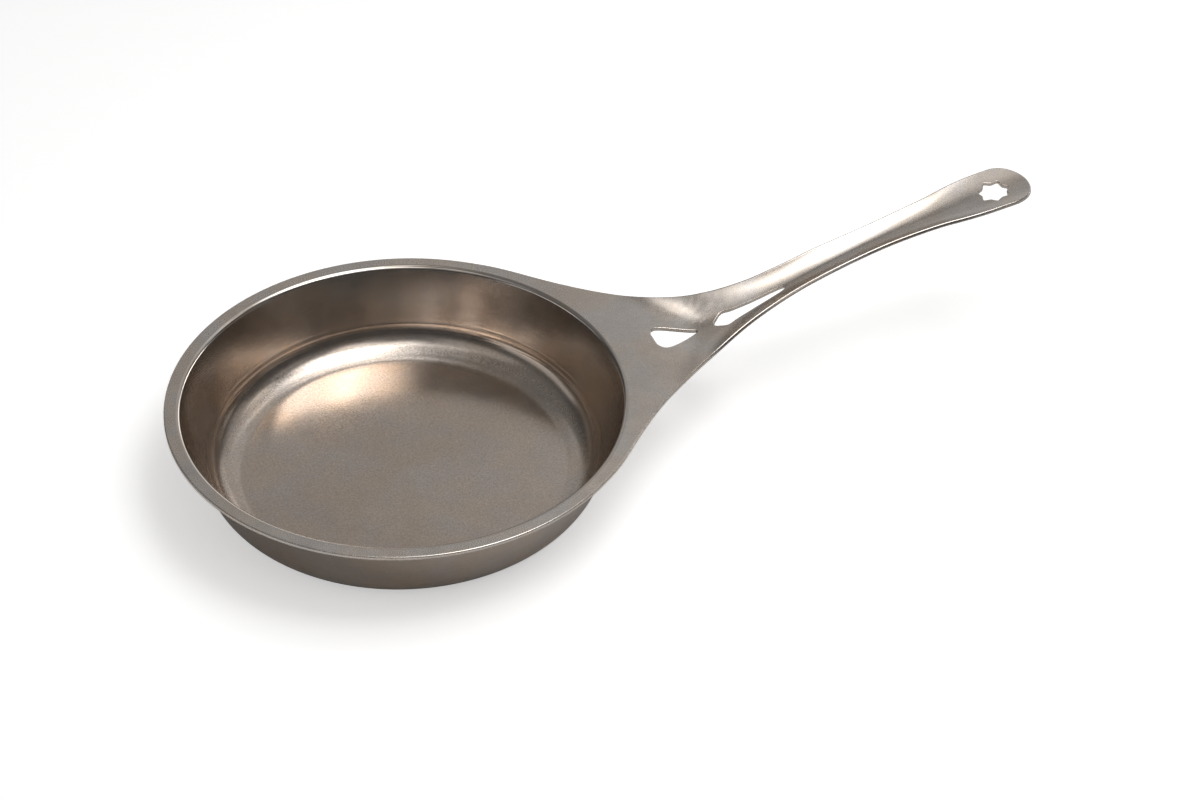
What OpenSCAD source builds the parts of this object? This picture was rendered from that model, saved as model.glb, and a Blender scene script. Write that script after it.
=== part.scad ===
// Seamless omelette pan, pressed from one sheet of metal.
// Frame: origin at the centre of the base underside, +Z up, handle along +X,
// mirror-symmetric about the XZ plane.  Millimetres.
// The zones of the sheet are separate closed solids that meet face to face.

/* [Bowl] */
// Thickness of the sheet
sheet_t = 2.5; // [2:0.25:3]
// Diameter over the rim flange
rim_d = 270; // [260:2:280]
// Height from the base underside to the top of the rim
rim_h = 51.5; // [46:0.5:58]
// Radius at which the flat flange starts to bend down into the mouth
bend_start_r = 128.3; // [126:0.1:130]
// Top radius of the bend between flange and side wall
bend_r = 3; // [3:0.1:4]
// Lean of the side wall from the vertical, in degrees
wall_lean = 20.2; // [16:0.1:24]
// Inside radius of the corner between side wall and floor
corner_r = 18; // [12:0.5:22]

/* [Handle] */
// Length factor of the handle beyond the rim
handle_k = 1; // [0.9:0.01:1.1]
// Rise factor of the handle above the rim
rise_k = 1; // [0.8:0.01:1.2]
// Depth factor of the gutter pressed along the handle
dish_k = 1; // [0.7:0.05:1.1]
// Width factor of the handle
width_k = 1; // [0.95:0.01:1.1]
// Radius of the rounded end of the handle in plan
end_r = 17.8; // [16:0.1:19]

/* [Openings] */
// Distance from the pan axis to the flat side of the large vent
vent1_x = 154.4; // [153:0.1:156]
// Distance from the pan axis to the blunt point of the long vent
vent2_x = 192.4; // [191:0.1:194]
// Distance from the pan axis to the middle of the hanging hole
hole_x = 371; // [368:0.5:374]
// Radius to the points of the star-shaped hanging hole
star_r = 9.6; // [8:0.1:10]
// Radius to the notches between the points
star_notch_r = 7.3; // [6:0.1:7.6]
// Number of points of the star
star_n = 7; // [5:1:9]

/* [Hidden] */
$fn = 96;
rim_r = rim_d / 2;

// Bowl profile, worked out from the tangencies of a sheet of even thickness
bend_z = rim_h - bend_r;                         // height of the bend's centre
bend_under_r = bend_r - sheet_t;                 // underside radius of the bend
wall_nx = cos(wall_lean);                        // outward normal of the wall, r part
wall_nz = -sin(wall_lean);                       // outward normal of the wall, z part
wall_c = wall_nx * (bend_start_r - bend_r * wall_nx) + wall_nz * (bend_z - bend_r * wall_nz);
corner_z = sheet_t + corner_r;                   // height of the corner's centre
corner_x = (wall_c - corner_r - wall_nz * corner_z) / wall_nx;

// Stations of the handle, hand-set round numbers in mm:
// distance beyond the rim, half width, rise of the edges over the rim, gutter depth
STATIONS = [
    [-54, 107.8, 0.0, 0.0], [-46, 102.2, 0.0, 0.0], [-38, 95.1, 0.0, 0.0],
    [-30, 87.1,  0.0, 0.0], [-22, 78.7,  0.0, 0.0], [ -8, 65.4, 0.0, 0.0],
    [  4, 55.2,  0.0, 0.0], [ 15, 47.0,  0.0, 0.0], [ 25, 40.2, 0.7, 1.8],
    [ 37, 32.8,  2.0, 4.5], [ 49, 26.5,  4.0, 6.4], [ 61, 21.2, 7.3, 6.8],
    [ 73, 17.2, 11.0, 6.8], [ 85, 14.5, 14.9, 6.7], [ 97, 12.8, 19.2, 6.6],
    [109, 11.9, 23.3, 6.2], [125, 11.5, 28.3, 5.5], [145, 10.9, 33.4, 4.6],
    [163, 11.0, 37.7, 4.1], [181, 12.1, 41.5, 3.9], [197, 13.6, 44.5, 3.8],
    [209, 15.8, 46.6, 3.6], [221, 17.3, 48.5, 3.3], [235, 17.8, 50.5, 2.9],
    [260, 17.8, 53.3, 2.4]];

// Smooth curve through column k of the stations
function seg(s, i = 0) = (i >= len(STATIONS) - 2 || s < STATIONS[i + 1][0]) ? i : seg(s, i + 1);
function grad(i, k) = let (a = max(i - 1, 0), b = min(i + 1, len(STATIONS) - 1))
    STATIONS[i][k] == 0 ? 0 : (STATIONS[b][k] - STATIONS[a][k]) / (STATIONS[b][0] - STATIONS[a][0]);
function curve(s, k) = let (i = seg(s), a = STATIONS[i], b = STATIONS[i + 1],
    d = b[0] - a[0], t = (s - a[0]) / d, t2 = t * t, t3 = t2 * t)
    (2 * t3 - 3 * t2 + 1) * a[k] + (t3 - 2 * t2 + t) * d * grad(i, k)
    + (3 * t2 - 2 * t3) * b[k] + (t3 - t2) * d * grad(i + 1, k);
function station(x) = (x - rim_r) / handle_k;
function half_w(x) = width_k * curve(station(x), 1);
function rise(x) = rise_k * curve(station(x), 2);
function dish(x) = dish_k * curve(station(x), 3);
function slope(x) = (rise(x + 0.5) - dish(x + 0.5) - rise(x - 0.5) + dish(x - 0.5));

// Where the zones of the handle end
x_web = rim_r + 15 * handle_k;      // end of the flat gusset
x_root = rim_r + 53 * handle_k;     // between the two vents
x_neck = rim_r + 109 * handle_k;    // end of the neck
x_grip = rim_r + 209 * handle_k;    // end of the grip
x_tip = rim_r + 258 * handle_k;     // tip of the handle
end_x = x_tip - end_r;              // centre of the rounded end

// Point of the upper surface at x and y, with the section's own width w
function top_z(x, y, w) = rim_h + rise(x) - dish(x) * (1 - pow(y / w, 2));
// Point of the lower surface under it, one sheet thickness along the normal
function low_pt(x, y, w) = let (g = 2 * dish(x) * y / (w * w), n = sqrt(1 + g * g),
    c = sqrt(1 + slope(x) * slope(x)))
    [x, y + sheet_t * g / n, top_z(x, y, w) - sheet_t * c / n];

// One closed piece of the gutter-shaped handle between stations xs,
// out to the half widths ws, with sections of width wr
module gutter(xs, ws, wr, m = 12) {
    n = len(xs);
    k = m + 1;
    pts = [for (i = [0 : n - 1]) each concat(
        [for (j = [0 : m]) let (y = ws[i] * (2 * j / m - 1)) [xs[i], y, top_z(xs[i], y, wr[i])]],
        [for (j = [0 : m]) let (y = ws[i] * (2 * j / m - 1)) low_pt(xs[i], y, wr[i])])];
    function p(i, j, s) = i * 2 * k + s * k + j;
    faces = concat(
        [for (i = [0 : n - 2], j = [0 : m - 1]) each [
            [p(i, j, 0), p(i, j + 1, 0), p(i + 1, j, 0)],
            [p(i, j + 1, 0), p(i + 1, j + 1, 0), p(i + 1, j, 0)],
            [p(i, j, 1), p(i + 1, j, 1), p(i, j + 1, 1)],
            [p(i, j + 1, 1), p(i + 1, j, 1), p(i + 1, j + 1, 1)]]],
        [for (i = [0 : n - 2]) each [
            [p(i, 0, 0), p(i + 1, 0, 0), p(i, 0, 1)],
            [p(i + 1, 0, 0), p(i + 1, 0, 1), p(i, 0, 1)],
            [p(i, m, 0), p(i, m, 1), p(i + 1, m, 0)],
            [p(i + 1, m, 0), p(i, m, 1), p(i + 1, m, 1)]]],
        [for (j = [0 : m - 1]) each [
            [p(0, j, 0), p(0, j, 1), p(0, j + 1, 0)],
            [p(0, j + 1, 0), p(0, j, 1), p(0, j + 1, 1)],
            [p(n - 1, j, 0), p(n - 1, j + 1, 0), p(n - 1, j, 1)],
            [p(n - 1, j + 1, 0), p(n - 1, j + 1, 1), p(n - 1, j, 1)]]]);
    polyhedron(points = pts, faces = faces, convexity = 6);
}
function span(a, b, n) = [for (i = [0 : n]) a + (b - a) * i / n];
module run(a, b, n) {
    xs = span(a, b, n);
    gutter(xs, [for (x = xs) half_w(x)], [for (x = xs) half_w(x)]);
}

// Outlines of the openings, in plan
function mirrored(side) = concat(side, [for (i = [len(side) - 1 : -1 : 0]) if (side[i][1] > 0) [side[i][0], -side[i][1]]]);
vent1 = mirrored([[0, 5.0], [0.8, 7.0], [2.4, 9.0], [4.4, 9.8], [7, 9.5], [10, 8.6], [14, 7.0],
    [18, 5.2], [22, 3.3], [26, 1.4], [27.2, 0.9], [27.6, 0]]);
vent2 = mirrored([[0, 0.9], [0.8, 2.0], [5.2, 5.4], [6.6, 5.9], [8.4, 5.8], [12, 4.7], [18, 3.9], [24, 3.2],
    [30, 2.7], [36, 2.3], [41, 1.8], [44, 1.1], [45, 0]]);
star = [for (i = [0 : 2 * star_n - 1]) let (a = 180 * i / star_n, r = i % 2 == 0 ? star_r : star_notch_r)
    [r * cos(a), r * sin(a)]];
module opening(outline, x) {
    translate([x, 0, 0]) linear_extrude(200) polygon(outline);
}

// Flat round floor on which the pan stands
module cooking_floor() {
    color([0.50, 0.47, 0.43]) cylinder(h = sheet_t, r = corner_x);
}

// Rounded corner that turns the floor up into the wall
module base_corner() {
    color([0.46, 0.43, 0.40]) rotate_extrude() intersection() {
        translate([corner_x, corner_z]) difference() {
            circle(r = corner_r + sheet_t);
            circle(r = corner_r);
        }
        polygon([[corner_x, corner_z], [corner_x, -5],
            [corner_x + 2 * corner_r * wall_nx, -5],
            [corner_x + 4 * corner_r * wall_nx, corner_z + 4 * corner_r * wall_nz]]);
    }
}

// Leaning side wall, straight in section
module side_wall() {
    color([0.42, 0.38, 0.34]) rotate_extrude() polygon([
        [corner_x + corner_r * wall_nx, corner_z + corner_r * wall_nz],
        [corner_x + (corner_r + sheet_t) * wall_nx, corner_z + (corner_r + sheet_t) * wall_nz],
        [bend_start_r - bend_under_r * wall_nx, bend_z - bend_under_r * wall_nz],
        [bend_start_r - bend_r * wall_nx, bend_z - bend_r * wall_nz]]);
}

// Mouth bend and flat flange all round the rim
module rim_flange() {
    color([0.56, 0.53, 0.50]) rotate_extrude() union() {
        translate([bend_start_r, rim_h - sheet_t]) square([rim_r - bend_start_r, sheet_t]);
        intersection() {
            translate([bend_start_r, bend_z]) difference() {
                circle(r = bend_r);
                circle(r = bend_under_r);
            }
            polygon([[bend_start_r, bend_z], [bend_start_r, bend_z + 2 * bend_r],
                [bend_start_r - 2 * bend_r * wall_nx, bend_z + 2 * bend_r],
                [bend_start_r - 2 * bend_r * wall_nx, bend_z - 2 * bend_r * wall_nz]]);
        }
    }
}

// Flat gusset where the flange widens towards the handle
module rim_gusset() {
    xs = span(rim_r - 44 * handle_k, x_web, 24);
    color([0.58, 0.55, 0.51]) translate([0, 0, rim_h - sheet_t]) difference() {
        linear_extrude(sheet_t) polygon(concat([for (x = xs) [x, -half_w(x)]],
            [for (i = [24 : -1 : 0]) [xs[i], half_w(xs[i])]]));
        translate([0, 0, -1]) cylinder(h = sheet_t + 2, r = rim_r, $fn = 240);
    }
}

// Dished root with the large vent
module handle_root() {
    color([0.66, 0.64, 0.61]) difference() {
        run(x_web, x_root, 14);
        opening(vent1, vent1_x);
    }
}

// Rising neck with the long vent
module handle_neck() {
    color([0.70, 0.68, 0.65]) difference() {
        run(x_root, x_neck, 18);
        opening(vent2, vent2_x);
    }
}

// Gutter-shaped grip
module handle_grip() {
    color([0.62, 0.60, 0.57]) run(x_neck, x_grip, 26);
}

// Rounded end with the star-shaped hanging hole
module handle_end() {
    xs = concat(span(x_grip, end_x, 8), [for (a = [8 : 8 : 80]) end_x + end_r * sin(a)], [end_x + end_r * sin(86)]);
    ws = concat([for (x = span(x_grip, end_x, 8)) min(half_w(x), end_r)], [for (a = [8 : 8 : 80]) end_r * cos(a)], [end_r * cos(86)]);
    color([0.57, 0.54, 0.51]) difference() {
        gutter(xs, ws, [for (x = xs) half_w(x)]);
        opening(star, hole_x);
    }
}

cooking_floor();
base_corner();
side_wall();
rim_flange();
rim_gusset();
handle_root();
handle_neck();
handle_grip();
handle_end();
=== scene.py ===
"""Looks of the seamless omelette pan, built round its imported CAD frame.

The pan is one pressed sheet.  Every visible piece below is cut from the same
smooth surface functions (bowl profile, rim, gutter-shaped handle), with rounded
sheet edges, so that the pieces meet without a seam.  Lengths are in mm until a
mesh is written, which scales them to metres.
"""

import math

import bpy
import numpy as np
from mathutils import Matrix, Vector
from mathutils.geometry import delaunay_2d_cdt


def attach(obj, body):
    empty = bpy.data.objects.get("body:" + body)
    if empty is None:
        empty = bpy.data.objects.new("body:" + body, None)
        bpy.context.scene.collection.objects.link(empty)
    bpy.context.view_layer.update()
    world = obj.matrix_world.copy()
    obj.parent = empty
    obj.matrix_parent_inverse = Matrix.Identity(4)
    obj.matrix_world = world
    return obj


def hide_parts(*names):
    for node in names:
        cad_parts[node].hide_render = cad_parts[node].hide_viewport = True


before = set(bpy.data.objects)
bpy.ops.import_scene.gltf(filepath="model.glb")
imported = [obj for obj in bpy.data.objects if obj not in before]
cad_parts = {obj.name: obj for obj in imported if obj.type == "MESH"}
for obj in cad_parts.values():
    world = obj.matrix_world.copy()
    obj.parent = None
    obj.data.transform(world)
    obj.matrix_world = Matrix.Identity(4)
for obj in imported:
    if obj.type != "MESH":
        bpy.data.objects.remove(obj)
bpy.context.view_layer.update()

# ---------------------------------------------------------------- dimensions
T = 2.5            # sheet
RIM_R = 135.0
RIM_H = 51.5
BEND_START = 128.3
BEND_R = 3.0
LEAN = math.radians(20.2)
CORNER_R = 18.0
EDGE_R = 0.8       # rounding of the sheet's outer edges
HOLE_R = 0.5       # rounding of the cut edges of the openings
SEAM_R = 133.2     # where the flange hands over to the gusset
X_WEB, X_ROOT, X_NECK, X_GRIP = 150.0, 188.0, 244.0, 344.0
X_TIP = 393.0
END_R = 17.8
N = 288            # segments round the bowl
N_GUSSET = 46      # segments on each side that the gusset covers

BEND_Z = RIM_H - BEND_R
NX, NZ = math.cos(LEAN), -math.sin(LEAN)
WALL_C = NX * (BEND_START - BEND_R * NX) + NZ * (BEND_Z - BEND_R * NZ)
CORNER_Z = T + CORNER_R
CORNER_X = (WALL_C - CORNER_R - NZ * CORNER_Z) / NX

# distance beyond the rim, half width, rise of the edges, gutter depth
STATIONS = np.array([
    [-54, 107.8, 0.0, 0.0], [-46, 102.2, 0.0, 0.0], [-38, 95.1, 0.0, 0.0],
    [-30, 87.1, 0.0, 0.0], [-22, 78.7, 0.0, 0.0], [-8, 65.4, 0.0, 0.0],
    [4, 55.2, 0.0, 0.0], [15, 47.0, 0.0, 0.0], [25, 40.2, 0.7, 1.8],
    [37, 32.8, 2.0, 4.5], [49, 26.5, 4.0, 6.4], [61, 21.2, 7.3, 6.8],
    [73, 17.2, 11.0, 6.8], [85, 14.5, 14.9, 6.7], [97, 12.8, 19.2, 6.6],
    [109, 11.9, 23.3, 6.2], [125, 11.5, 28.3, 5.5], [145, 10.9, 33.4, 4.6],
    [163, 11.0, 37.7, 4.1], [181, 12.1, 41.5, 3.9], [197, 13.6, 44.5, 3.8],
    [209, 15.8, 46.6, 3.6], [221, 17.3, 48.5, 3.3], [235, 17.8, 50.5, 2.9],
    [260, 17.8, 53.3, 2.4]])
FINE = np.arange(-70.0, 275.01, 0.25)


def through_stations(k):
    """Column k of the stations as a smooth table over FINE."""
    s0, v = STATIONS[:, 0], STATIONS[:, k]
    n = len(s0)
    g = np.array([0.0 if v[i] == 0 else
                  (v[min(i + 1, n - 1)] - v[max(i - 1, 0)]) / (s0[min(i + 1, n - 1)] - s0[max(i - 1, 0)])
                  for i in range(n)])
    s = np.clip(FINE, s0[0], s0[-1])
    i = np.clip(np.searchsorted(s0, s, side="right") - 1, 0, n - 2)
    d = s0[i + 1] - s0[i]
    t = (s - s0[i]) / d
    t2, t3 = t * t, t ** 3
    out = ((2 * t3 - 3 * t2 + 1) * v[i] + (t3 - 2 * t2 + t) * d * g[i]
           + (3 * t2 - 2 * t3) * v[i + 1] + (t3 - t2) * d * g[i + 1])
    out = out + np.where(FINE < s0[0], (FINE - s0[0]) * g[0], 0) + np.where(FINE > s0[-1], (FINE - s0[-1]) * g[-1], 0)
    sigma = 3.5 / 0.25
    half = int(4 * sigma)
    kernel = np.exp(-0.5 * (np.arange(-half, half + 1) / sigma) ** 2)
    kernel /= kernel.sum()
    left = out[0] + (out[1] - out[0]) * np.arange(-half, 0)
    right = out[-1] + (out[-1] - out[-2]) * np.arange(1, half + 1)
    return np.convolve(np.concatenate([left, out, right]), kernel, mode="valid")


T_WIDTH, T_RISE, T_DISH = (through_stations(k) for k in (1, 2, 3))


def half_w(x):
    return np.interp(np.asarray(x, float) - RIM_R, FINE, T_WIDTH)


# Marks that forming left on the far side of the handle's root: an uneven patch, and a row of small bright dents
# above the large vent.  Each is (x, y, radius, height) in mm.
_rng = np.random.RandomState(11)
MARKS = [(float(_rng.normal(183, 11)), float(_rng.normal(19, 4.5)), float(_rng.uniform(1.3, 2.8)), float(_rng.uniform(-0.030, 0.030)))
         for _ in range(110)]
MARKS += [(float(_rng.normal(174, 9)), float(_rng.normal(12.5, 2.0)), float(_rng.uniform(1.0, 1.8)), float(_rng.uniform(-0.022, 0.022)))
          for _ in range(40)]
MARKS += [(163.5, 15.6, 1.2, -0.035), (168.5, 13.6, 1.1, -0.03), (177.0, 8.6, 1.0, -0.075), (182.6, 6.9, 0.9, -0.060),
          (187.0, 5.0, 0.9, -0.080), (189.6, 6.0, 0.8, -0.050)]


def marks(x, y):
    h = np.zeros(np.broadcast(x, y).shape)
    for mx, my, radius, height in MARKS:
        d2 = ((x - mx) ** 2 + (y - my) ** 2) / radius ** 2
        h = h + height * np.exp(-np.minimum(d2, 50.0))
    return h


def top(x, y):
    """Height of the upper surface of the rim, gusset and handle."""
    x, y = np.asarray(x, float), np.asarray(y, float)
    s = x - RIM_R
    rise = np.interp(s, FINE, T_RISE)
    dish = np.interp(s, FINE, T_DISH)
    w = np.interp(s, FINE, T_WIDTH)
    return RIM_H + rise - dish * (1 - (y / w) ** 2) + marks(x, y)


def normal(x, y):
    e = 0.5
    gx = (top(x + e, y) - top(x - e, y)) / (2 * e)
    gy = (top(x, y + e) - top(x, y - e)) / (2 * e)
    n = np.stack([-gx, -gy, np.ones_like(gx)], -1)
    return n / np.linalg.norm(n, axis=-1, keepdims=True)


def surface(xy):
    xy = np.asarray(xy, float).reshape(-1, 2)
    return np.column_stack([xy, top(xy[:, 0], xy[:, 1])])


# ---------------------------------------------------------------- outline
_x = np.arange(X_WEB - 72.0, X_WEB + 0.01, 0.05)
_phi = np.arctan2(half_w(_x), _x)
_rad = np.hypot(half_w(_x), _x)


def rim_out(phi):
    """Radius of the sheet's edge round the rim: the circle, or the gusset's side where that is wider."""
    phi = abs(phi)
    over = np.interp(phi, _phi[::-1], _rad[::-1]) - RIM_R if phi < _phi[0] else -5.0
    k = 0.15
    return RIM_R + (over if over > 6 else k * math.log1p(math.exp(over / k)))


def circle_phi(i):
    return 2 * math.pi * i / N


def outline_side():
    """Points and directions of travel of the +Y edge, from the end of the gusset to the tip, with the x where it passes each seam."""
    pts, dirs = [], []
    i = N_GUSSET
    while circle_phi(i) > math.radians(44):
        p, e = circle_phi(i), 1e-3
        a, b = rim_out(p - e), rim_out(p + e)
        r = rim_out(p)
        pts.append((r * math.cos(p), r * math.sin(p)))
        d = np.array([a * math.cos(p - e) - b * math.cos(p + e), a * math.sin(p - e) - b * math.sin(p + e)])
        dirs.append(d / np.linalg.norm(d))
        i -= 1
    stops = [pts[-1][0], X_WEB, X_ROOT, X_NECK, X_GRIP, X_TIP - END_R]
    marks = {}
    for a, b in zip(stops[:-1], stops[1:]):
        n = max(2, int(round((b - a) / 1.25)))
        for x in np.linspace(a, b, n + 1)[1:]:
            w = float(half_w(x))
            d = np.array([1.0, float(half_w(x + 0.5) - half_w(x - 0.5))])
            pts.append((float(x), w))
            dirs.append(d / np.linalg.norm(d))
        marks[b] = len(pts) - 1
    c = X_TIP - END_R
    r = float(half_w(c))
    steps = 26
    for k in range(1, steps + 1):
        a = math.pi / 2 * (1 - k / steps)
        pts.append((c + r * math.cos(a), r * math.sin(a)))
        dirs.append(np.array([math.sin(a), -math.cos(a)]))
    return np.array(pts), np.array(dirs), marks


def edge_rings(xy, direction, side, radius):
    """Rounded edge of the sheet at points xy of its outline.
    side is +1 if the open air is on the left of the direction of travel, else -1.
    Returns positions and normals, shaped (points, ring, 3): from the upper surface round to the lower one."""
    xy = np.asarray(xy, float)
    d = np.asarray(direction, float)
    out2 = np.column_stack([-d[:, 1], d[:, 0]]) * side
    nrm = normal(xy[:, 0], xy[:, 1])
    dz = -(nrm[:, 0] * d[:, 0] + nrm[:, 1] * d[:, 1]) / nrm[:, 2]
    t3 = np.column_stack([d, dz])
    t3 /= np.linalg.norm(t3, axis=1, keepdims=True)
    s = np.cross(t3, nrm)
    s *= np.sign((s[:, :2] * out2).sum(1))[:, None]
    s /= np.linalg.norm(s, axis=1, keepdims=True)
    q = xy - radius * s[:, :2]
    nq = normal(q[:, 0], q[:, 1])
    s = s - (s * nq).sum(1)[:, None] * nq
    s /= np.linalg.norm(s, axis=1, keepdims=True)
    q3 = surface(q)
    pos, nor = [], []
    steps = 7
    for k in range(steps + 1):
        b = math.pi / 2 * k / steps
        pos.append(q3 + s * radius * math.sin(b) - nq * radius * (1 - math.cos(b)))
        nor.append(nq * math.cos(b) + s * math.sin(b))
    for k in range(steps + 1):
        b = math.pi / 2 * k / steps
        pos.append(q3 + s * radius * math.cos(b) - nq * (T - radius + radius * math.sin(b)))
        nor.append(s * math.cos(b) - nq * math.sin(b))
    return np.stack(pos, 1), np.stack(nor, 1)


# ---------------------------------------------------------------- mesh writing
class Sheet:
    """A closed mesh with its own shading normals: smooth over the metal, flat on the hidden faces between pieces."""

    def __init__(self):
        self.v, self.n, self.f, self.cap = [], [], [], []

    def add(self, p, n):
        self.v.append(tuple(float(c) for c in p))
        self.n.append(tuple(float(c) for c in n))
        return len(self.v) - 1

    def add_many(self, ps, ns):
        return [self.add(p, n) for p, n in zip(ps, ns)]

    def face(self, idx, cap=False):
        clean = []
        for i in idx:
            if not clean or clean[-1] != i:
                clean.append(i)
        if len(clean) > 1 and clean[0] == clean[-1]:
            clean.pop()
        if len(clean) > 2:
            self.f.append(tuple(clean))
            self.cap.append(cap)

    def write(self, name, material, node):
        mesh = bpy.data.meshes.new(name)
        mesh.from_pydata([(x / 1000, y / 1000, z / 1000) for x, y, z in self.v], [], self.f)
        mesh.materials.append(material)
        mesh.update()
        for p in mesh.polygons:
            p.use_smooth = True
        loops = []
        for p, cap in zip(mesh.polygons, self.cap):
            for v in p.vertices:
                loops.append(tuple(p.normal) if cap else self.n[v])
        mesh.normals_split_custom_set(loops)
        obj = bpy.data.objects.new(name, mesh)
        bpy.context.scene.collection.objects.link(obj)
        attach(obj, "root")
        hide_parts(node)
        return obj


def inside(points, polygon):
    """Which points lie in the closed polygon."""
    points, poly = np.asarray(points, float), np.asarray(polygon, float)
    x, y = points[:, 0], points[:, 1]
    hit = np.zeros(len(points), bool)
    a, b = poly, np.roll(poly, -1, axis=0)
    for (x0, y0), (x1, y1) in zip(a, b):
        if y0 == y1:
            continue
        crosses = ((y0 > y) != (y1 > y)) & (x < (x1 - x0) * (y - y0) / (y1 - y0) + x0)
        hit ^= crosses
    return hit


def distance(points, polygon):
    """Distance of each point from the closed polygon's line."""
    points, poly = np.asarray(points, float), np.asarray(polygon, float)
    best = np.full(len(points), 1e9)
    for a, b in zip(poly, np.roll(poly, -1, axis=0)):
        d = b - a
        l2 = float(d @ d)
        if l2 < 1e-12:
            continue
        t = np.clip(((points - a) @ d) / l2, 0, 1)
        best = np.minimum(best, np.hypot(*(points - a - t[:, None] * d).T))
    return best


def triangulate(loop, holes, step):
    """Even triangles inside loop and outside holes.  Returns the points, which start with the loop's and the holes', and the triangles."""
    loop = np.asarray(loop, float)
    holes = [np.asarray(h, float) for h in holes]
    lo, hi = loop.min(0), loop.max(0)
    rows = []
    j = 0
    y = -math.floor(-lo[1] / (step * 0.87)) * step * 0.87
    while y < hi[1]:
        xs = np.arange(lo[0] + (step / 2 if j % 2 else 0), hi[0], step)
        rows.append(np.column_stack([xs, np.full(len(xs), y)]))
        y += step * 0.87
        j += 1
    grid = np.concatenate(rows)
    keep = inside(grid, loop) & (distance(grid, loop) > 0.55 * step)
    for h in holes:
        keep &= ~inside(grid, h) & (distance(grid, h) > 0.45 * step)
    grid = grid[keep]
    pts = np.concatenate([loop] + holes + [grid])
    edges, k = [], 0
    for ring in [loop] + holes:
        m = len(ring)
        edges += [(k + i, k + (i + 1) % m) for i in range(m)]
        k += m
    vs, _, fs, origin, _, _ = delaunay_2d_cdt([Vector(p) for p in pts.tolist()], edges, [], 0, 1e-6, True)
    where = [o[0] if len(o) else -1 for o in origin]
    tri = np.array([[where[i] for i in f] for f in fs if len(f) == 3])
    tri = tri[(tri >= 0).all(1)]
    mid = pts[tri].mean(1)
    ok = inside(mid, loop)
    for h in holes:
        ok &= ~inside(mid, h)
    tri = tri[ok]
    a, b, c = pts[tri[:, 0]], pts[tri[:, 1]], pts[tri[:, 2]]
    area = (b[:, 0] - a[:, 0]) * (c[:, 1] - a[:, 1]) - (b[:, 1] - a[:, 1]) * (c[:, 0] - a[:, 0])
    tri[area < 0] = tri[area < 0][:, ::-1]
    return pts, tri[np.abs(area) > 1e-9]


# ---------------------------------------------------------------- openings
def mirrored(side):
    return side + [[a, -b] for a, b in side[::-1] if b > 0]


VENT_1 = mirrored([[0, 5.0], [0.8, 7.0], [2.4, 9.0], [4.4, 9.8], [7, 9.5], [10, 8.6], [14, 7.0],
                   [18, 5.2], [22, 3.3], [26, 1.4], [27.2, 0.9], [27.6, 0]])
VENT_2 = mirrored([[0, 0.9], [0.8, 2.0], [5.2, 5.4], [6.6, 5.9], [8.4, 5.8], [12, 4.7], [18, 3.9], [24, 3.2],
                   [30, 2.7], [36, 2.3], [41, 1.8], [44, 1.1], [45, 0]])
STAR = [[(9.6 if i % 2 == 0 else 7.3) * math.cos(math.pi * i / 7),
         (9.6 if i % 2 == 0 else 7.3) * math.sin(math.pi * i / 7)] for i in range(14)]


def smooth_loop(points, x0, spacing, round_off):
    """Closed outline through points, evenly spaced and with its corners rounded over about round_off mm."""
    p = np.asarray(points, float) + [x0, 0]
    q = np.concatenate([p, p[:1]])
    seg = np.hypot(*np.diff(q, axis=0).T)
    s = np.concatenate([[0], np.cumsum(seg)])
    n = int(s[-1] / 0.1)
    t = np.arange(n) * s[-1] / n
    fine = np.column_stack([np.interp(t, s, q[:, 0]), np.interp(t, s, q[:, 1])])
    sigma = round_off / 0.1
    half = int(4 * sigma) + 1
    kernel = np.exp(-0.5 * (np.arange(-half, half + 1) / sigma) ** 2)
    kernel /= kernel.sum()
    wrap = np.concatenate([fine[-half:], fine, fine[:half]])
    sm = np.column_stack([np.convolve(wrap[:, c], kernel, mode="valid") for c in (0, 1)])
    m = max(24, int(round(s[-1] / spacing)))
    idx = (np.arange(m) * n / m).astype(int)
    out = sm[idx]
    d = np.roll(sm, -3, axis=0)[idx] - np.roll(sm, 3, axis=0)[idx]
    d /= np.hypot(*d.T)[:, None]
    area = 0.5 * np.sum(out[:, 0] * np.roll(out[:, 1], -1) - np.roll(out[:, 0], -1) * out[:, 1])
    if area < 0:
        out, d = out[::-1], -d[::-1]
    return out, d          # counter-clockwise: the opening is on the left


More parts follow.
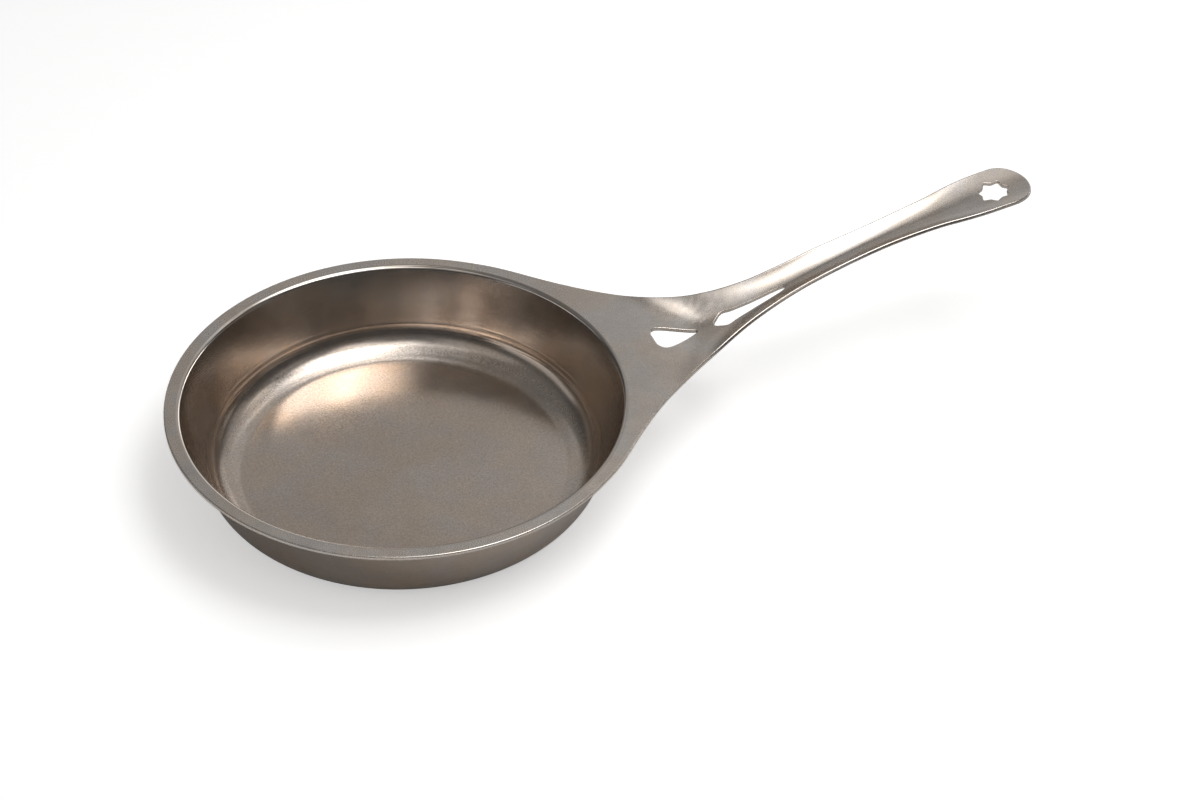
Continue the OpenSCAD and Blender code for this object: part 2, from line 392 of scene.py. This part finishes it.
# ---------------------------------------------------------------- materials
class Tree:
    """Small helper that writes shader nodes."""

    def __init__(self, material):
        self.t = material.node_tree
        self.t.nodes.clear()

    def new(self, kind, **settings):
        node = self.t.nodes.new(kind)
        for k, v in settings.items():
            setattr(node, k, v)
        return node

    def put(self, socket, value):
        if hasattr(value, "is_output"):
            self.t.links.new(value, socket)
        else:
            socket.default_value = value

    def math(self, op, a, b=0.0, c=0.0, clamp=False):
        n = self.new("ShaderNodeMath", operation=op, use_clamp=clamp)
        for s, v in zip(n.inputs, (a, b, c)):
            self.put(s, v)
        return n.outputs[0]

    def ramp(self, value, a, b, lo=0.0, hi=1.0):
        n = self.new("ShaderNodeMapRange", interpolation_type="SMOOTHSTEP")
        for key, v in (("Value", value), ("From Min", a), ("From Max", b), ("To Min", lo), ("To Max", hi)):
            self.put(n.inputs[key], v)
        return n.outputs["Result"]

    def combine(self, x, y, z):
        n = self.new("ShaderNodeCombineXYZ")
        for s, v in zip(n.inputs, (x, y, z)):
            self.put(s, v)
        return n.outputs[0]

    def noise(self, vector, scale, detail=2.0, rough=0.5, distortion=0.0):
        n = self.new("ShaderNodeTexNoise")
        self.put(n.inputs["Vector"], vector)
        n.inputs["Scale"].default_value = scale
        n.inputs["Detail"].default_value = detail
        n.inputs["Roughness"].default_value = rough
        n.inputs["Distortion"].default_value = distortion
        return n.outputs["Fac"]

    def mix(self, factor, a, b, blend="MIX"):
        n = self.new("ShaderNodeMix", data_type="RGBA", blend_type=blend)
        self.put(n.inputs[0], factor)
        self.put(n.inputs[6], a)
        self.put(n.inputs[7], b)
        return n.outputs[2]


def steel():
    """Bare satin steel: fine grain, faint lines along the way it was worked, and slow changes of tone."""
    m = bpy.data.materials.new("satin_steel")
    m.use_nodes = True
    t = Tree(m)
    out = t.new("ShaderNodeOutputMaterial")
    b = t.new("ShaderNodeBsdfPrincipled")
    t.t.links.new(b.outputs[0], out.inputs[0])
    place = t.new("ShaderNodeTexCoord").outputs["Object"]
    sep = t.new("ShaderNodeSeparateXYZ")
    t.put(sep.inputs[0], place)
    x, y, z = sep.outputs
    r = t.math("SQRT", t.math("ADD", t.math("MULTIPLY", x, x), t.math("MULTIPLY", y, y)))
    angle = t.math("ARCTAN2", y, x)
    # lines round the bowl, and along the handle
    round_lines = t.noise(t.combine(t.math("MULTIPLY", r, 1500.0), t.math("MULTIPLY", angle, 5.0), t.math("MULTIPLY", z, 1500.0)), 1.0, 3.0, 0.65)
    along = t.noise(t.combine(t.math("MULTIPLY", x, 70.0), t.math("MULTIPLY", y, 1900.0), t.math("MULTIPLY", z, 1900.0)), 1.0, 3.0, 0.65)
    grain = t.noise(place, 1300.0, 3.0, 0.65)
    coarse = t.noise(place, 420.0, 3.0, 0.6)
    fleck = t.noise(place, 780.0, 2.0, 0.5)
    mottle = t.noise(place, 85.0, 4.0, 0.6)
    slow = t.noise(place, 13.0, 2.0, 0.5)
    drift = t.noise(place, 34.0, 3.0, 0.55)
    on_handle = t.ramp(r, 0.134, 0.150)
    # regions of the bowl: floor, the matt ring where the corner starts, corner, wall
    in_bowl = t.ramp(r, 0.1290, 0.1275)
    low = t.math("MULTIPLY", in_bowl, t.ramp(z, 0.0100, 0.0070))
    matt_ring = t.math("MULTIPLY", low, t.math("MULTIPLY", t.ramp(r, 0.1005, 0.1030), t.ramp(r, 0.1070, 0.1045)))
    in_wall = t.math("MULTIPLY", t.ramp(z, 0.0100, 0.0150), in_bowl)
    inside_sheet = t.math("MULTIPLY", in_bowl, t.ramp(z, 0.0500, 0.0470))

    def centred(noise, amount):
        return t.math("MULTIPLY", t.math("SUBTRACT", noise, 0.5), amount)

    # colour: slightly straw-coloured in the bowl, with slow warm and cool patches
    outside = t.mix(t.ramp(slow, 0.35, 0.65), (0.598, 0.537, 0.486, 1), (0.634, 0.576, 0.526, 1))
    inner = t.mix(t.ramp(slow, 0.35, 0.65), (0.606, 0.518, 0.448, 1), (0.640, 0.554, 0.484, 1))
    base = t.mix(inside_sheet, outside, inner)
    tint = t.mix(t.ramp(drift, 0.38, 0.62), (1.030, 1.0, 0.960, 1), (0.980, 0.998, 1.018, 1))
    base = t.mix(1.0, base, tint, "MULTIPLY")
    tone = t.math("ADD", 0.985, centred(mottle, 0.16))
    tone = t.math("ADD", tone, centred(grain, t.math("SUBTRACT", t.math("ADD", t.math("ADD", 0.28, t.math("MULTIPLY", in_bowl, 0.46)), t.math("MULTIPLY", matt_ring, 0.22)), t.math("MULTIPLY", in_wall, 0.60))))
    tone = t.math("ADD", tone, centred(coarse, 0.16))
    tone = t.math("ADD", tone, centred(fleck, t.math("ADD", 0.12, t.math("MULTIPLY", low, 0.34))))
    tone = t.math("ADD", tone, t.math("MULTIPLY", in_wall, centred(round_lines, 0.22)))
    tone = t.math("ADD", tone, t.math("MULTIPLY", on_handle, centred(along, 0.16)))
    tone = t.math("SUBTRACT", tone, t.math("MULTIPLY", t.ramp(coarse, 0.70, 0.78), 0.14))      # a few dark specks
    tone = t.math("SUBTRACT", tone, t.math("MULTIPLY", matt_ring, 0.06))
    grey = t.combine(tone, tone, tone)
    t.put(b.inputs["Base Color"], t.mix(1.0, base, grey, "MULTIPLY"))
    b.inputs["Metallic"].default_value = 1.0
    # roughness
    rough = t.math("ADD", 0.27, centred(mottle, 0.08))
    rough = t.math("ADD", rough, centred(grain, 0.10))
    rough = t.math("SUBTRACT", rough, t.math("MULTIPLY", in_bowl, 0.075))
    rough = t.math("ADD", rough, t.math("MULTIPLY", matt_ring, 0.080))
    rough = t.math("SUBTRACT", rough, t.math("MULTIPLY", in_wall, 0.045))
    t.put(b.inputs["Roughness"], rough)
    # bump
    height = t.math("MULTIPLY", round_lines, t.math("ADD", 0.25, t.math("MULTIPLY", in_wall, 0.75)))
    height = t.math("ADD", t.math("MULTIPLY", height, t.math("SUBTRACT", 1.0, on_handle)), t.math("MULTIPLY", t.math("MULTIPLY", along, on_handle), 0.6))
    height = t.math("ADD", height, t.math("MULTIPLY", grain, t.math("SUBTRACT", t.math("ADD", 0.40, t.math("MULTIPLY", matt_ring, 0.35)), t.math("MULTIPLY", in_wall, 0.34))))
    fine = t.new("ShaderNodeBump")
    fine.inputs["Strength"].default_value = 0.12
    fine.inputs["Distance"].default_value = 0.00006
    t.put(fine.inputs["Height"], height)
    t.put(b.inputs["Normal"], fine.outputs[0])
    return m


metal = steel()

# ---------------------------------------------------------------- the bowl
COS = [math.cos(circle_phi(i)) for i in range(N)]
SIN = [math.sin(circle_phi(i)) for i in range(N)]


def ring_of(sheet, r, z, nr, nz, which=None):
    """One vertex per angle at profile point (r, z) with profile normal (nr, nz)."""
    return [sheet.add((r * COS[i % N], r * SIN[i % N], z), (nr * COS[i % N], nr * SIN[i % N], nz))
            for i in (range(N) if which is None else which)]


def skin(sheet, rings, cap=False):
    """Quads between rings; they face right of the walk from ring to ring, seen along +angle."""
    for a, b in zip(rings[:-1], rings[1:]):
        for i in range(N):
            j = (i + 1) % N
            sheet.face((a[i], b[i], b[j], a[j]), cap)


def corner_point(a, outer):
    """Point of the base corner at angle a, 0 at the floor and 90 - lean at the wall."""
    r = CORNER_R + (T if outer else 0)
    return CORNER_X + r * math.sin(a), CORNER_Z - r * math.cos(a)


CORNER_END = math.pi / 2 - LEAN

# Corner and wall.  The press leaves a crease on the wall 4 mm above the CAD corner's end, and the corner inside
# it is a little fuller than the outside radius would give.
CREASE = 3.96
ROUND = 21.5                  # inner radius of the corner, which starts a little below the crease
RIDGES = ((0.0, 0.045, 0.50), (-1.6, -0.020, 0.90), (-4.3, 0.024, 0.50), (1.7, -0.012, 0.80))
CREASE_R = CORNER_X + CORNER_R * math.sin(CORNER_END) + CREASE * math.cos(CORNER_END)
CREASE_Z = CORNER_Z - CORNER_R * math.cos(CORNER_END) + CREASE * math.sin(CORNER_END)


ROUND_X = CREASE_R - CREASE_Z * math.tan(LEAN) + T * math.tan(LEAN) - ROUND * math.tan(CORNER_END / 2)   # where the floor ends
D_ROUND = -math.hypot(CREASE_R - ROUND_X - ROUND * math.sin(CORNER_END), CREASE_Z - T - ROUND * (1 - math.cos(CORNER_END)))
D_FLOOR = D_ROUND - ROUND * CORNER_END


def ridge(d):
    """Height and slope of the ridges at distance d up the profile from the crease."""
    h = sum(a * math.exp(-((d - m) / w) ** 2) for m, a, w in RIDGES)
    g = sum(-2 * (d - m) / w ** 2 * a * math.exp(-((d - m) / w) ** 2) for m, a, w in RIDGES)
    return h, g


def profile_point(d):
    """Inner surface at distance d from the crease, below it if d < 0: position and normal."""
    if d >= D_ROUND:
        a = CORNER_END
        r, z = CREASE_R + math.cos(a) * d, CREASE_Z + math.sin(a) * d
    else:
        a = CORNER_END + (d - D_ROUND) / ROUND
        r, z = ROUND_X + ROUND * math.sin(a), T + ROUND * (1 - math.cos(a))
    tr, tz = math.cos(a), math.sin(a)
    nr, nz = -tz, tr
    h, g = ridge(d)
    fade = min(1.0, max(0.0, (d - D_FLOOR) / 3.0))
    h, g = h * fade, g * fade
    r, z = r + nr * h, z + nz * h
    nr, nz = nr - g * tr, nz - g * tz
    k = math.hypot(nr, nz)
    return r, z, nr / k, nz / k


# floor
s = Sheet()
radii = [ROUND_X * k / 12 for k in range(12, 0, -1)]
upper = [ring_of(s, r, T, 0, 1) for r in radii]
lower = [ring_of(s, r, 0.0, 0, -1) for r in radii]
skin(s, upper[::-1])
skin(s, lower)
c_up, c_low = s.add((0, 0, T), (0, 0, 1)), s.add((0, 0, 0), (0, 0, -1))
for i in range(N):
    j = (i + 1) % N
    s.face((c_up, upper[-1][i], upper[-1][j]))
    s.face((c_low, lower[-1][j], lower[-1][i]))
skin(s, [upper[0], lower[0]], cap=True)
floor_piece = s.write("pan_cooking_floor", metal, "cooking_floor")

s = Sheet()
seam_d = -CREASE             # where the corner piece ends and the wall piece starts
stops = [D_FLOOR + (-7.0 - D_FLOOR) * k / 18 for k in range(19)] + [-7.0 + (7.0 + seam_d) * k / 12 for k in range(1, 13)]
ups = [ring_of(s, *profile_point(d)) for d in stops]
lows = []
for k in range(27):
    a = CORNER_END * k / 26
    r, z = corner_point(a, True)
    lows.append(ring_of(s, r, 0.0 if k == 0 else z, math.sin(a), -math.cos(a)))
lows.insert(0, ring_of(s, ROUND_X, 0.0, 0, -1))
skin(s, ups)
skin(s, lows[::-1])
skin(s, [lows[0], ups[0]], cap=True)
skin(s, [ups[-1], lows[-1]], cap=True)
corner_piece = s.write("pan_base_corner", metal, "base_corner")

# wall
s = Sheet()
start_out = corner_point(CORNER_END, True)
end_in = (BEND_START - BEND_R * NX, BEND_Z - BEND_R * NZ)
end_out = (BEND_START - (BEND_R - T) * NX, BEND_Z - (BEND_R - T) * NZ)
length = math.hypot(end_in[0] - CREASE_R, end_in[1] - CREASE_Z)
stops = [seam_d + (3.0 - seam_d) * k / 34 for k in range(35)] + [3.0 + (length - 3.0) * k / 14 for k in range(1, 15)]
ups = [ring_of(s, *profile_point(d)) for d in stops]
lows = []
for k in range(17):
    q = k / 16
    lows.append(ring_of(s, start_out[0] + (end_out[0] - start_out[0]) * q, start_out[1] + (end_out[1] - start_out[1]) * q, NX, NZ))
skin(s, ups)
skin(s, lows[::-1])
skin(s, [lows[0], ups[0]], cap=True)
skin(s, [ups[-1], lows[-1]], cap=True)
wall_piece = s.write("pan_side_wall", metal, "side_wall")

# mouth bend, flange, and the rounded rim where there is no gusset
side_pts, side_dirs, MARK = outline_side()
s = Sheet()
ups, lows = [], []
steps = 12
for k in range(steps + 1):
    a = (math.pi / 2 - LEAN) * k / steps          # from the wall to the flat
    nr, nz = -math.cos(LEAN + a), math.sin(LEAN + a)
    ups.append(ring_of(s, BEND_START + BEND_R * nr, BEND_Z + BEND_R * nz, nr, nz))
    lows.append(ring_of(s, BEND_START + (BEND_R - T) * nr, BEND_Z + (BEND_R - T) * nz, -nr, -nz))
for r in (BEND_START + (SEAM_R - BEND_START) * k / 4 for k in range(1, 5)):
    ups.append(ring_of(s, r, RIM_H, 0, 1))
    lows.append(ring_of(s, r, RIM_H - T, 0, -1))
skin(s, ups)
skin(s, lows[::-1])
skin(s, [lows[0], ups[0]], cap=True)
free = list(range(N_GUSSET, N - N_GUSSET + 1))       # angles with a free rim
xy = np.array([(rim_out(circle_phi(min(i, N - i))) * COS[i % N], rim_out(circle_phi(min(i, N - i))) * SIN[i % N]) for i in free])
dr = np.array([(SIN[i % N], -COS[i % N]) for i in free])
dr[0], dr[-1] = side_dirs[0], (-side_dirs[0][0], side_dirs[0][1])
pos, nor = edge_rings(xy, dr, 1, EDGE_R)
ids = [[s.add(p, n) for p, n in zip(pos[k], nor[k])] for k in range(len(free))]
for k in range(len(free) - 1):
    i, j = free[k] % N, free[k + 1] % N
    chain_a = [ups[-1][i]] + ids[k] + [lows[-1][i]]
    chain_b = [ups[-1][j]] + ids[k + 1] + [lows[-1][j]]
    for m in range(len(chain_a) - 1):
        s.face((chain_a[m], chain_a[m + 1], chain_b[m + 1], chain_b[m]))
i = free[0]
s.face([lows[-1][i]] + ids[0][::-1] + [ups[-1][i]], cap=True)
i = free[-1] % N
s.face([ups[-1][i]] + ids[-1] + [lows[-1][i]], cap=True)
for i in list(range(0, N_GUSSET)) + list(range(N - N_GUSSET, N)):
    j = (i + 1) % N
    s.face((ups[-1][i], lows[-1][i], lows[-1][j], ups[-1][j]), cap=True)
flange_piece = s.write("pan_rim_flange", metal, "rim_flange")


# ---------------------------------------------------------------- gusset and handle
def strip(name, node, first, last, seam_a, seam_b, openings=(), step=1.3):
    """A piece of the sheet between two seams.  first and last are indices into the +Y outline.
    seam_a and seam_b give the number of points across a seam, None for the tip, or "arc" for the flange."""
    s = Sheet()
    pts, dirs = side_pts[first:last + 1], side_dirs[first:last + 1]
    flip = np.array([1.0, -1.0])
    pos_l, nor_l = edge_rings(pts, dirs, 1, EDGE_R)
    pos_r, nor_r = edge_rings(pts * flip, dirs * flip, -1, EDGE_R)
    left = pos_l[:, 0, :2]            # on the upper surface, travelling outwards
    right = pos_r[:, 0, :2]
    tip = seam_b is None
    loop, kind = [], []

    def across(a, b, n):
        return [a + (b - a) * k / n for k in range(1, n)]

    # counter-clockwise: right side outwards, seam b, left side back, seam a
    loop += list(right)
    kind += [("r", k) for k in range(len(right))]
    if not tip:
        mid = across(right[-1], left[-1], seam_b)
        loop += mid
        kind += [("b", k) for k in range(len(mid))]
        loop += list(left[::-1])
        kind += [("l", k) for k in range(len(left) - 1, -1, -1)]
    else:
        loop += list(left[:-1][::-1])
        kind += [("l", k) for k in range(len(left) - 2, -1, -1)]
    if seam_a == "arc":
        mid = [np.array([SEAM_R * math.cos(circle_phi(i)), SEAM_R * math.sin(circle_phi(i))]) for i in range(N_GUSSET, -N_GUSSET - 1, -1)]
    else:
        mid = across(left[0], right[0], seam_a)
    loop += mid
    kind += [("a", k) for k in range(len(mid))]
    loop = np.array(loop)

    rims = []
    for points, x0, spacing, round_off in openings:
        h, d = smooth_loop(points, x0, spacing, round_off)
        rims.append(edge_rings(h, d, 1, HOLE_R))
    holes = [p[:, 0, :2] for p, _ in rims]

    flat, tri = triangulate(loop, holes, step)
    up3 = surface(flat)
    nrm = normal(flat[:, 0], flat[:, 1])
    if seam_a == "arc":
        for k, (w, i) in enumerate(kind):
            if w == "a":
                up3[k, 2] = RIM_H
                nrm[k] = (0, 0, 1)
    up = s.add_many(up3, nrm)
    low = s.add_many(up3 - T * nrm, -nrm)
    for a, b, c in tri:
        s.face((up[a], up[b], up[c]))
        s.face((low[c], low[b], low[a]))

    at = {w: k for k, w in enumerate(kind)}
    n_side = len(right)

    def chain(side, k, pos, nor):
        if tip and k == n_side - 1:
            side = "r"
            i = at[("r", k)]
            return [up[i]] + shared_tip + [low[i]]
        i = at[(side, k)]
        return [up[i]] + [s.add(p, n) for p, n in zip(pos[k][1:-1], nor[k][1:-1])] + [low[i]]

    shared_tip = [s.add(p, n) for p, n in zip(pos_r[-1][1:-1], nor_r[-1][1:-1])] if tip else []
    chains_r = [chain("r", k, pos_r, nor_r) for k in range(n_side)]
    chains_l = [chain("l", k, pos_l, nor_l) for k in range(n_side)]
    for k in range(n_side - 1):
        for m in range(len(chains_r[0]) - 1):
            a, b = chains_r[k], chains_r[k + 1]
            s.face((a[m], a[m + 1], b[m + 1], b[m]))
            a, b = chains_l[k], chains_l[k + 1]
            s.face((a[m], b[m], b[m + 1], a[m + 1]))
    # hidden faces at the seams
    a_mid = [at[("a", k)] for k in range(len(mid))]
    if seam_a == "arc":
        s.face([up[a_mid[0]]] + chains_l[0] + [low[a_mid[0]]], cap=True)
        s.face([low[a_mid[-1]]] + chains_r[0][::-1] + [up[a_mid[-1]]], cap=True)
        for a, b in zip(a_mid[:-1], a_mid[1:]):
            s.face((up[a], low[a], low[b], up[b]), cap=True)
    else:
        s.face(chains_l[0], cap=True)
        s.face(chains_r[0][::-1], cap=True)
        row = [at[("l", 0)]] + a_mid + [at[("r", 0)]]
        for a, b in zip(row[:-1], row[1:]):
            s.face((up[a], low[a], low[b], up[b]), cap=True)
    if not tip:
        s.face(chains_l[-1][::-1], cap=True)
        s.face(chains_r[-1], cap=True)
        row = [at[("r", n_side - 1)]] + [at[("b", k)] for k in range(seam_b - 1)] + [at[("l", n_side - 1)]]
        for a, b in zip(row[:-1], row[1:]):
            s.face((up[a], low[a], low[b], up[b]), cap=True)
    # cut edges of the openings
    k0 = len(loop)
    for (pos, nor), h in zip(rims, holes):
        m = len(h)
        chains = [[up[k0 + k]] + [s.add(p, n) for p, n in zip(pos[k][1:-1], nor[k][1:-1])] + [low[k0 + k]] for k in range(m)]
        for k in range(m):
            a, b = chains[k], chains[(k + 1) % m]
            for i in range(len(a) - 1):
                s.face((a[i], b[i], b[i + 1], a[i + 1]))
        k0 += m
    return s.write(name, metal, node)


def seam_points(x):
    return max(8, int(round(2 * float(half_w(x)) / 1.3)))


gusset_piece = strip("pan_rim_gusset", "rim_gusset", 0, MARK[X_WEB], "arc", seam_points(X_WEB), step=2.0)
root_piece = strip("pan_handle_root", "handle_root", MARK[X_WEB], MARK[X_ROOT], seam_points(X_WEB), seam_points(X_ROOT),
                   [(VENT_1, 154.4, 0.5, 0.35)], step=1.2)
neck_piece = strip("pan_handle_neck", "handle_neck", MARK[X_ROOT], MARK[X_NECK], seam_points(X_ROOT), seam_points(X_NECK),
                   [(VENT_2, 192.4, 0.5, 0.35)], step=1.2)
grip_piece = strip("pan_handle_grip", "handle_grip", MARK[X_NECK], MARK[X_GRIP], seam_points(X_NECK), seam_points(X_GRIP), step=1.3)
end_piece = strip("pan_handle_end", "handle_end", MARK[X_GRIP], len(side_pts) - 1, seam_points(X_GRIP), None,
                  [(STAR, 371.0, 0.4, 0.45)], step=1.3)

# ---------------------------------------------------------------- camera, in the frame it was fitted in
TURN = Matrix.Rotation(math.radians(-22.2), 4, "Z")     # studio frame to the part's frame
elev, roll, focal = math.radians(38.93), math.radians(0.40), 3400.0
right = Vector((1, 0, 0))
back = Vector((0, -math.cos(elev), math.sin(elev)))
upv = Vector((0, math.sin(elev), math.cos(elev)))
r2 = right * math.cos(roll) + upv * math.sin(roll)
u2 = -right * math.sin(roll) + upv * math.cos(roll)
eye = (1428.1 * back + 82.9 * r2 - 0.21 * u2) * 0.00135 + Vector((0, 0, RIM_H / 1000))
cam_data = bpy.data.cameras.new("camera")
cam_data.sensor_fit = "HORIZONTAL"
cam_data.sensor_width = 36.0
cam_data.lens = focal / 1200 * 36.0
cam_data.clip_start, cam_data.clip_end = 0.05, 60.0
cam = bpy.data.objects.new("camera", cam_data)
bpy.context.scene.collection.objects.link(cam)
look = Matrix((
    (r2.x, u2.x, back.x, eye.x),
    (r2.y, u2.y, back.y, eye.y),
    (r2.z, u2.z, back.z, eye.z),
    (0, 0, 0, 1)))
cam.matrix_world = TURN @ look
bpy.context.scene.camera = cam

# ---------------------------------------------------------------- studio
scene = bpy.context.scene
scene.view_settings.view_transform = "Standard"
scene.view_settings.look = "None"
scene.view_settings.exposure = 0.0
scene.view_settings.gamma = 1.0


# pale table top: reflections see it a little darker than the camera does, as in a studio with a lit backdrop
def table():
    m = bpy.data.materials.new("pale_floor")
    m.use_nodes = True
    t = Tree(m)
    out = t.new("ShaderNodeOutputMaterial")
    b = t.new("ShaderNodeBsdfPrincipled")
    t.t.links.new(b.outputs[0], out.inputs[0])
    seen = t.new("ShaderNodeLightPath").outputs["Is Camera Ray"]
    t.put(b.inputs["Base Color"], t.mix(seen, (0.66, 0.656, 0.652, 1), (0.86, 0.855, 0.85, 1)))
    b.inputs["Emission Color"].default_value = (1, 1, 1, 1)
    # painted light: the sweep in front and to the left of the pan glows a little, for reflections only, as a painted
    # pool of light which the rim's edge picks up
    sep = t.new("ShaderNodeSeparateXYZ")
    t.put(sep.inputs[0], t.new("ShaderNodeTexCoord").outputs["Object"])
    fx, fy, _ = sep.outputs
    away = t.math("SQRT", t.math("ADD", t.math("MULTIPLY", fx, fx), t.math("MULTIPLY", fy, fy)))
    lit = t.math("MULTIPLY", t.ramp(away, 0.145, 0.200), t.ramp(t.math("SUBTRACT", fx, t.math("MULTIPLY", fy, 0.41)), 0.22, 0.02))
    # painted light on the floor: an even faint glow plus the painted pool, which only reflections see
    painted_light_glow = t.math("ADD", 0.02, t.math("MULTIPLY", lit, 0.16))
    t.put(b.inputs["Emission Strength"], t.math("ADD", t.math("MULTIPLY", painted_light_glow, t.math("SUBTRACT", 1.0, seen)), t.math("MULTIPLY", seen, 0.50)))
    b.inputs["Roughness"].default_value = 0.9
    b.inputs["Specular IOR Level"].default_value = 0.0
    return m


mesh = bpy.data.meshes.new("studio_floor")
steps = 96
ring = [(9.0 * math.cos(2 * math.pi * i / steps), 9.0 * math.sin(2 * math.pi * i / steps), -0.0002) for i in range(steps)]
mesh.from_pydata(ring, [], [tuple(range(steps))])
mesh.materials.append(table())
floor = bpy.data.objects.new("studio_floor", mesh)
scene.collection.objects.link(floor)


def soft_light(name, x0, x1, y0, y1, z, strength, fade):
    """Flat overhead light, bright in the middle and fading over its last part on each side."""
    mesh = bpy.data.meshes.new(name)
    corners = [(x0, y1, z), (x1, y1, z), (x1, y0, z), (x0, y0, z)]
    mesh.from_pydata([tuple(TURN @ Vector(c)) for c in corners], [], [(0, 1, 2, 3)])
    m = bpy.data.materials.new(name)
    m.use_nodes = True
    t = Tree(m)
    o = t.new("ShaderNodeOutputMaterial")
    e = t.new("ShaderNodeEmission")
    e.inputs["Color"].default_value = (1, 1, 1, 1)
    sep = t.new("ShaderNodeSeparateXYZ")
    t.put(sep.inputs[0], t.new("ShaderNodeTexCoord").outputs["Object"])
    ox, oy, _ = sep.outputs
    c, d = math.cos(math.radians(22.2)), math.sin(math.radians(22.2))
    u = t.math("SUBTRACT", t.math("MULTIPLY", ox, c), t.math("MULTIPLY", oy, d))
    v = t.math("ADD", t.math("MULTIPLY", ox, d), t.math("MULTIPLY", oy, c))
    shape = strength
    for q, q0, q1, f0, f1 in ((u, x0, x1, fade[0], fade[1]), (v, y0, y1, fade[2], fade[3])):
        shape = t.math("MULTIPLY", shape, t.ramp(q, q0, q0 + f0))
        shape = t.math("MULTIPLY", shape, t.ramp(q, q1, q1 - f1))
    t.put(e.inputs["Strength"], shape)
    clear = t.new("ShaderNodeBsdfTransparent")
    both = t.new("ShaderNodeAddShader")
    t.t.links.new(e.outputs[0], both.inputs[0])
    t.t.links.new(clear.outputs[0], both.inputs[1])
    t.t.links.new(both.outputs[0], o.inputs[0])
    mesh.materials.append(m)
    obj = bpy.data.objects.new(name, mesh)
    scene.collection.objects.link(obj)
    obj.visible_camera = False
    obj.visible_shadow = False
    return obj


# soft boxes over the bowl's right half, and smaller ones behind and in front of it
soft_light("softbox_low", -0.09, 0.51, -0.37, 0.37, 0.95, 3.20, (0.24, 0.04, 0.06, 0.06))
soft_light("softbox_back", -0.12, 0.27, 0.31, 0.60, 0.95, 1.40, (0.10, 0.08, 0.06, 0.12))
soft_light("softbox_tip", 0.26, 0.52, 0.40, 0.90, 0.95, 0.55, (0.08, 0.08, 0.12, 0.14))
soft_light("softbox_high", 0.33, 1.60, -0.64, 0.04, 1.70, 2.65, (0.06, 0.55, 0.08, 0.08))
soft_light("softbox_front", -0.30, 0.72, -1.28, -0.50, 1.70, 1.20, (0.15, 0.15, 0.22, 0.15))
soft_light("softbox_neck", -0.32, 0.26, -1.40, -0.62, 1.70, 0.55, (0.12, 0.12, 0.14, 0.14))
soft_light("softbox_corner", 0.46, 1.36, -1.56, -0.64, 1.70, 0.95, (0.14, 0.22, 0.24, 0.12))

# soft panels round the room: direction from the right-hand side and its half width, heights from and to,
# all in degrees, and brightness
PANELS = (
    (72, 18, 6, 22, 1.03), (108, 18, 6, 22, 0.42), (72, 18, 22, 43, 0.31), (108, 18, 22, 43, 0.25),
    (36, 18, 22, 43, 0.20), (63, 27, 43, 70, 0.27), (34, 11, 6, 13, 4.20), (56, 11, 6, 13, 1.70),
    (11, 34, 0, 6, 0.40), (202, 23, 6, 13, 0.80), (189, 27, 13, 22, 0.42), (234, 18, 55, 70, 0.52),
    (21, 11, 39, 48, 0.90), (-14, 12, 33, 39, 0.16), (222, 26, 37, 56, 0.22),
)

world = bpy.data.worlds.new("studio")
scene.world = world
world.use_nodes = True
w = Tree(world)
w_out = w.new("ShaderNodeOutputWorld")
bg = w.new("ShaderNodeBackground")
w.t.links.new(bg.outputs[0], w_out.inputs[0])
gen = w.new("ShaderNodeTexCoord").outputs["Generated"]
sep = w.new("ShaderNodeSeparateXYZ")
w.put(sep.inputs[0], gen)
gx, gy, gz = sep.outputs
flat = w.math("MAXIMUM", w.math("SQRT", w.math("ADD", w.math("MULTIPLY", gx, gx), w.math("MULTIPLY", gy, gy))), 0.001)
level = w.ramp(gz, 0.40, 0.66, 0.068, 0.165)
for centre, half, low, high, bright in PANELS:
    c = math.radians(centre - 22.2)
    across = w.math("DIVIDE", w.math("ADD", w.math("MULTIPLY", gx, math.cos(c)), w.math("MULTIPLY", gy, math.sin(c))), flat)
    soft = 4.0
    shape = w.ramp(across, math.cos(math.radians(half + soft)), math.cos(math.radians(half - soft)), 0.0, bright)
    edge = 0.18 * (high - low) + 0.3
    shape = w.math("MULTIPLY", shape, w.ramp(gz, math.sin(math.radians(low - edge)), math.sin(math.radians(low + edge))))
    shape = w.math("MULTIPLY", shape, w.ramp(gz, math.sin(math.radians(high + edge)), math.sin(math.radians(high - edge))))
    level = w.math("ADD", level, shape)
seen = w.new("ShaderNodeLightPath").outputs["Is Camera Ray"]
level = w.math("ADD", w.math("MULTIPLY", level, w.math("SUBTRACT", 1.0, seen)), w.math("MULTIPLY", seen, 0.98))
w.put(bg.inputs["Strength"], level)
bg.inputs["Color"].default_value = (1, 1, 1, 1)

# ---------------------------------------------------------------- end
bpy.context.view_layer.update()
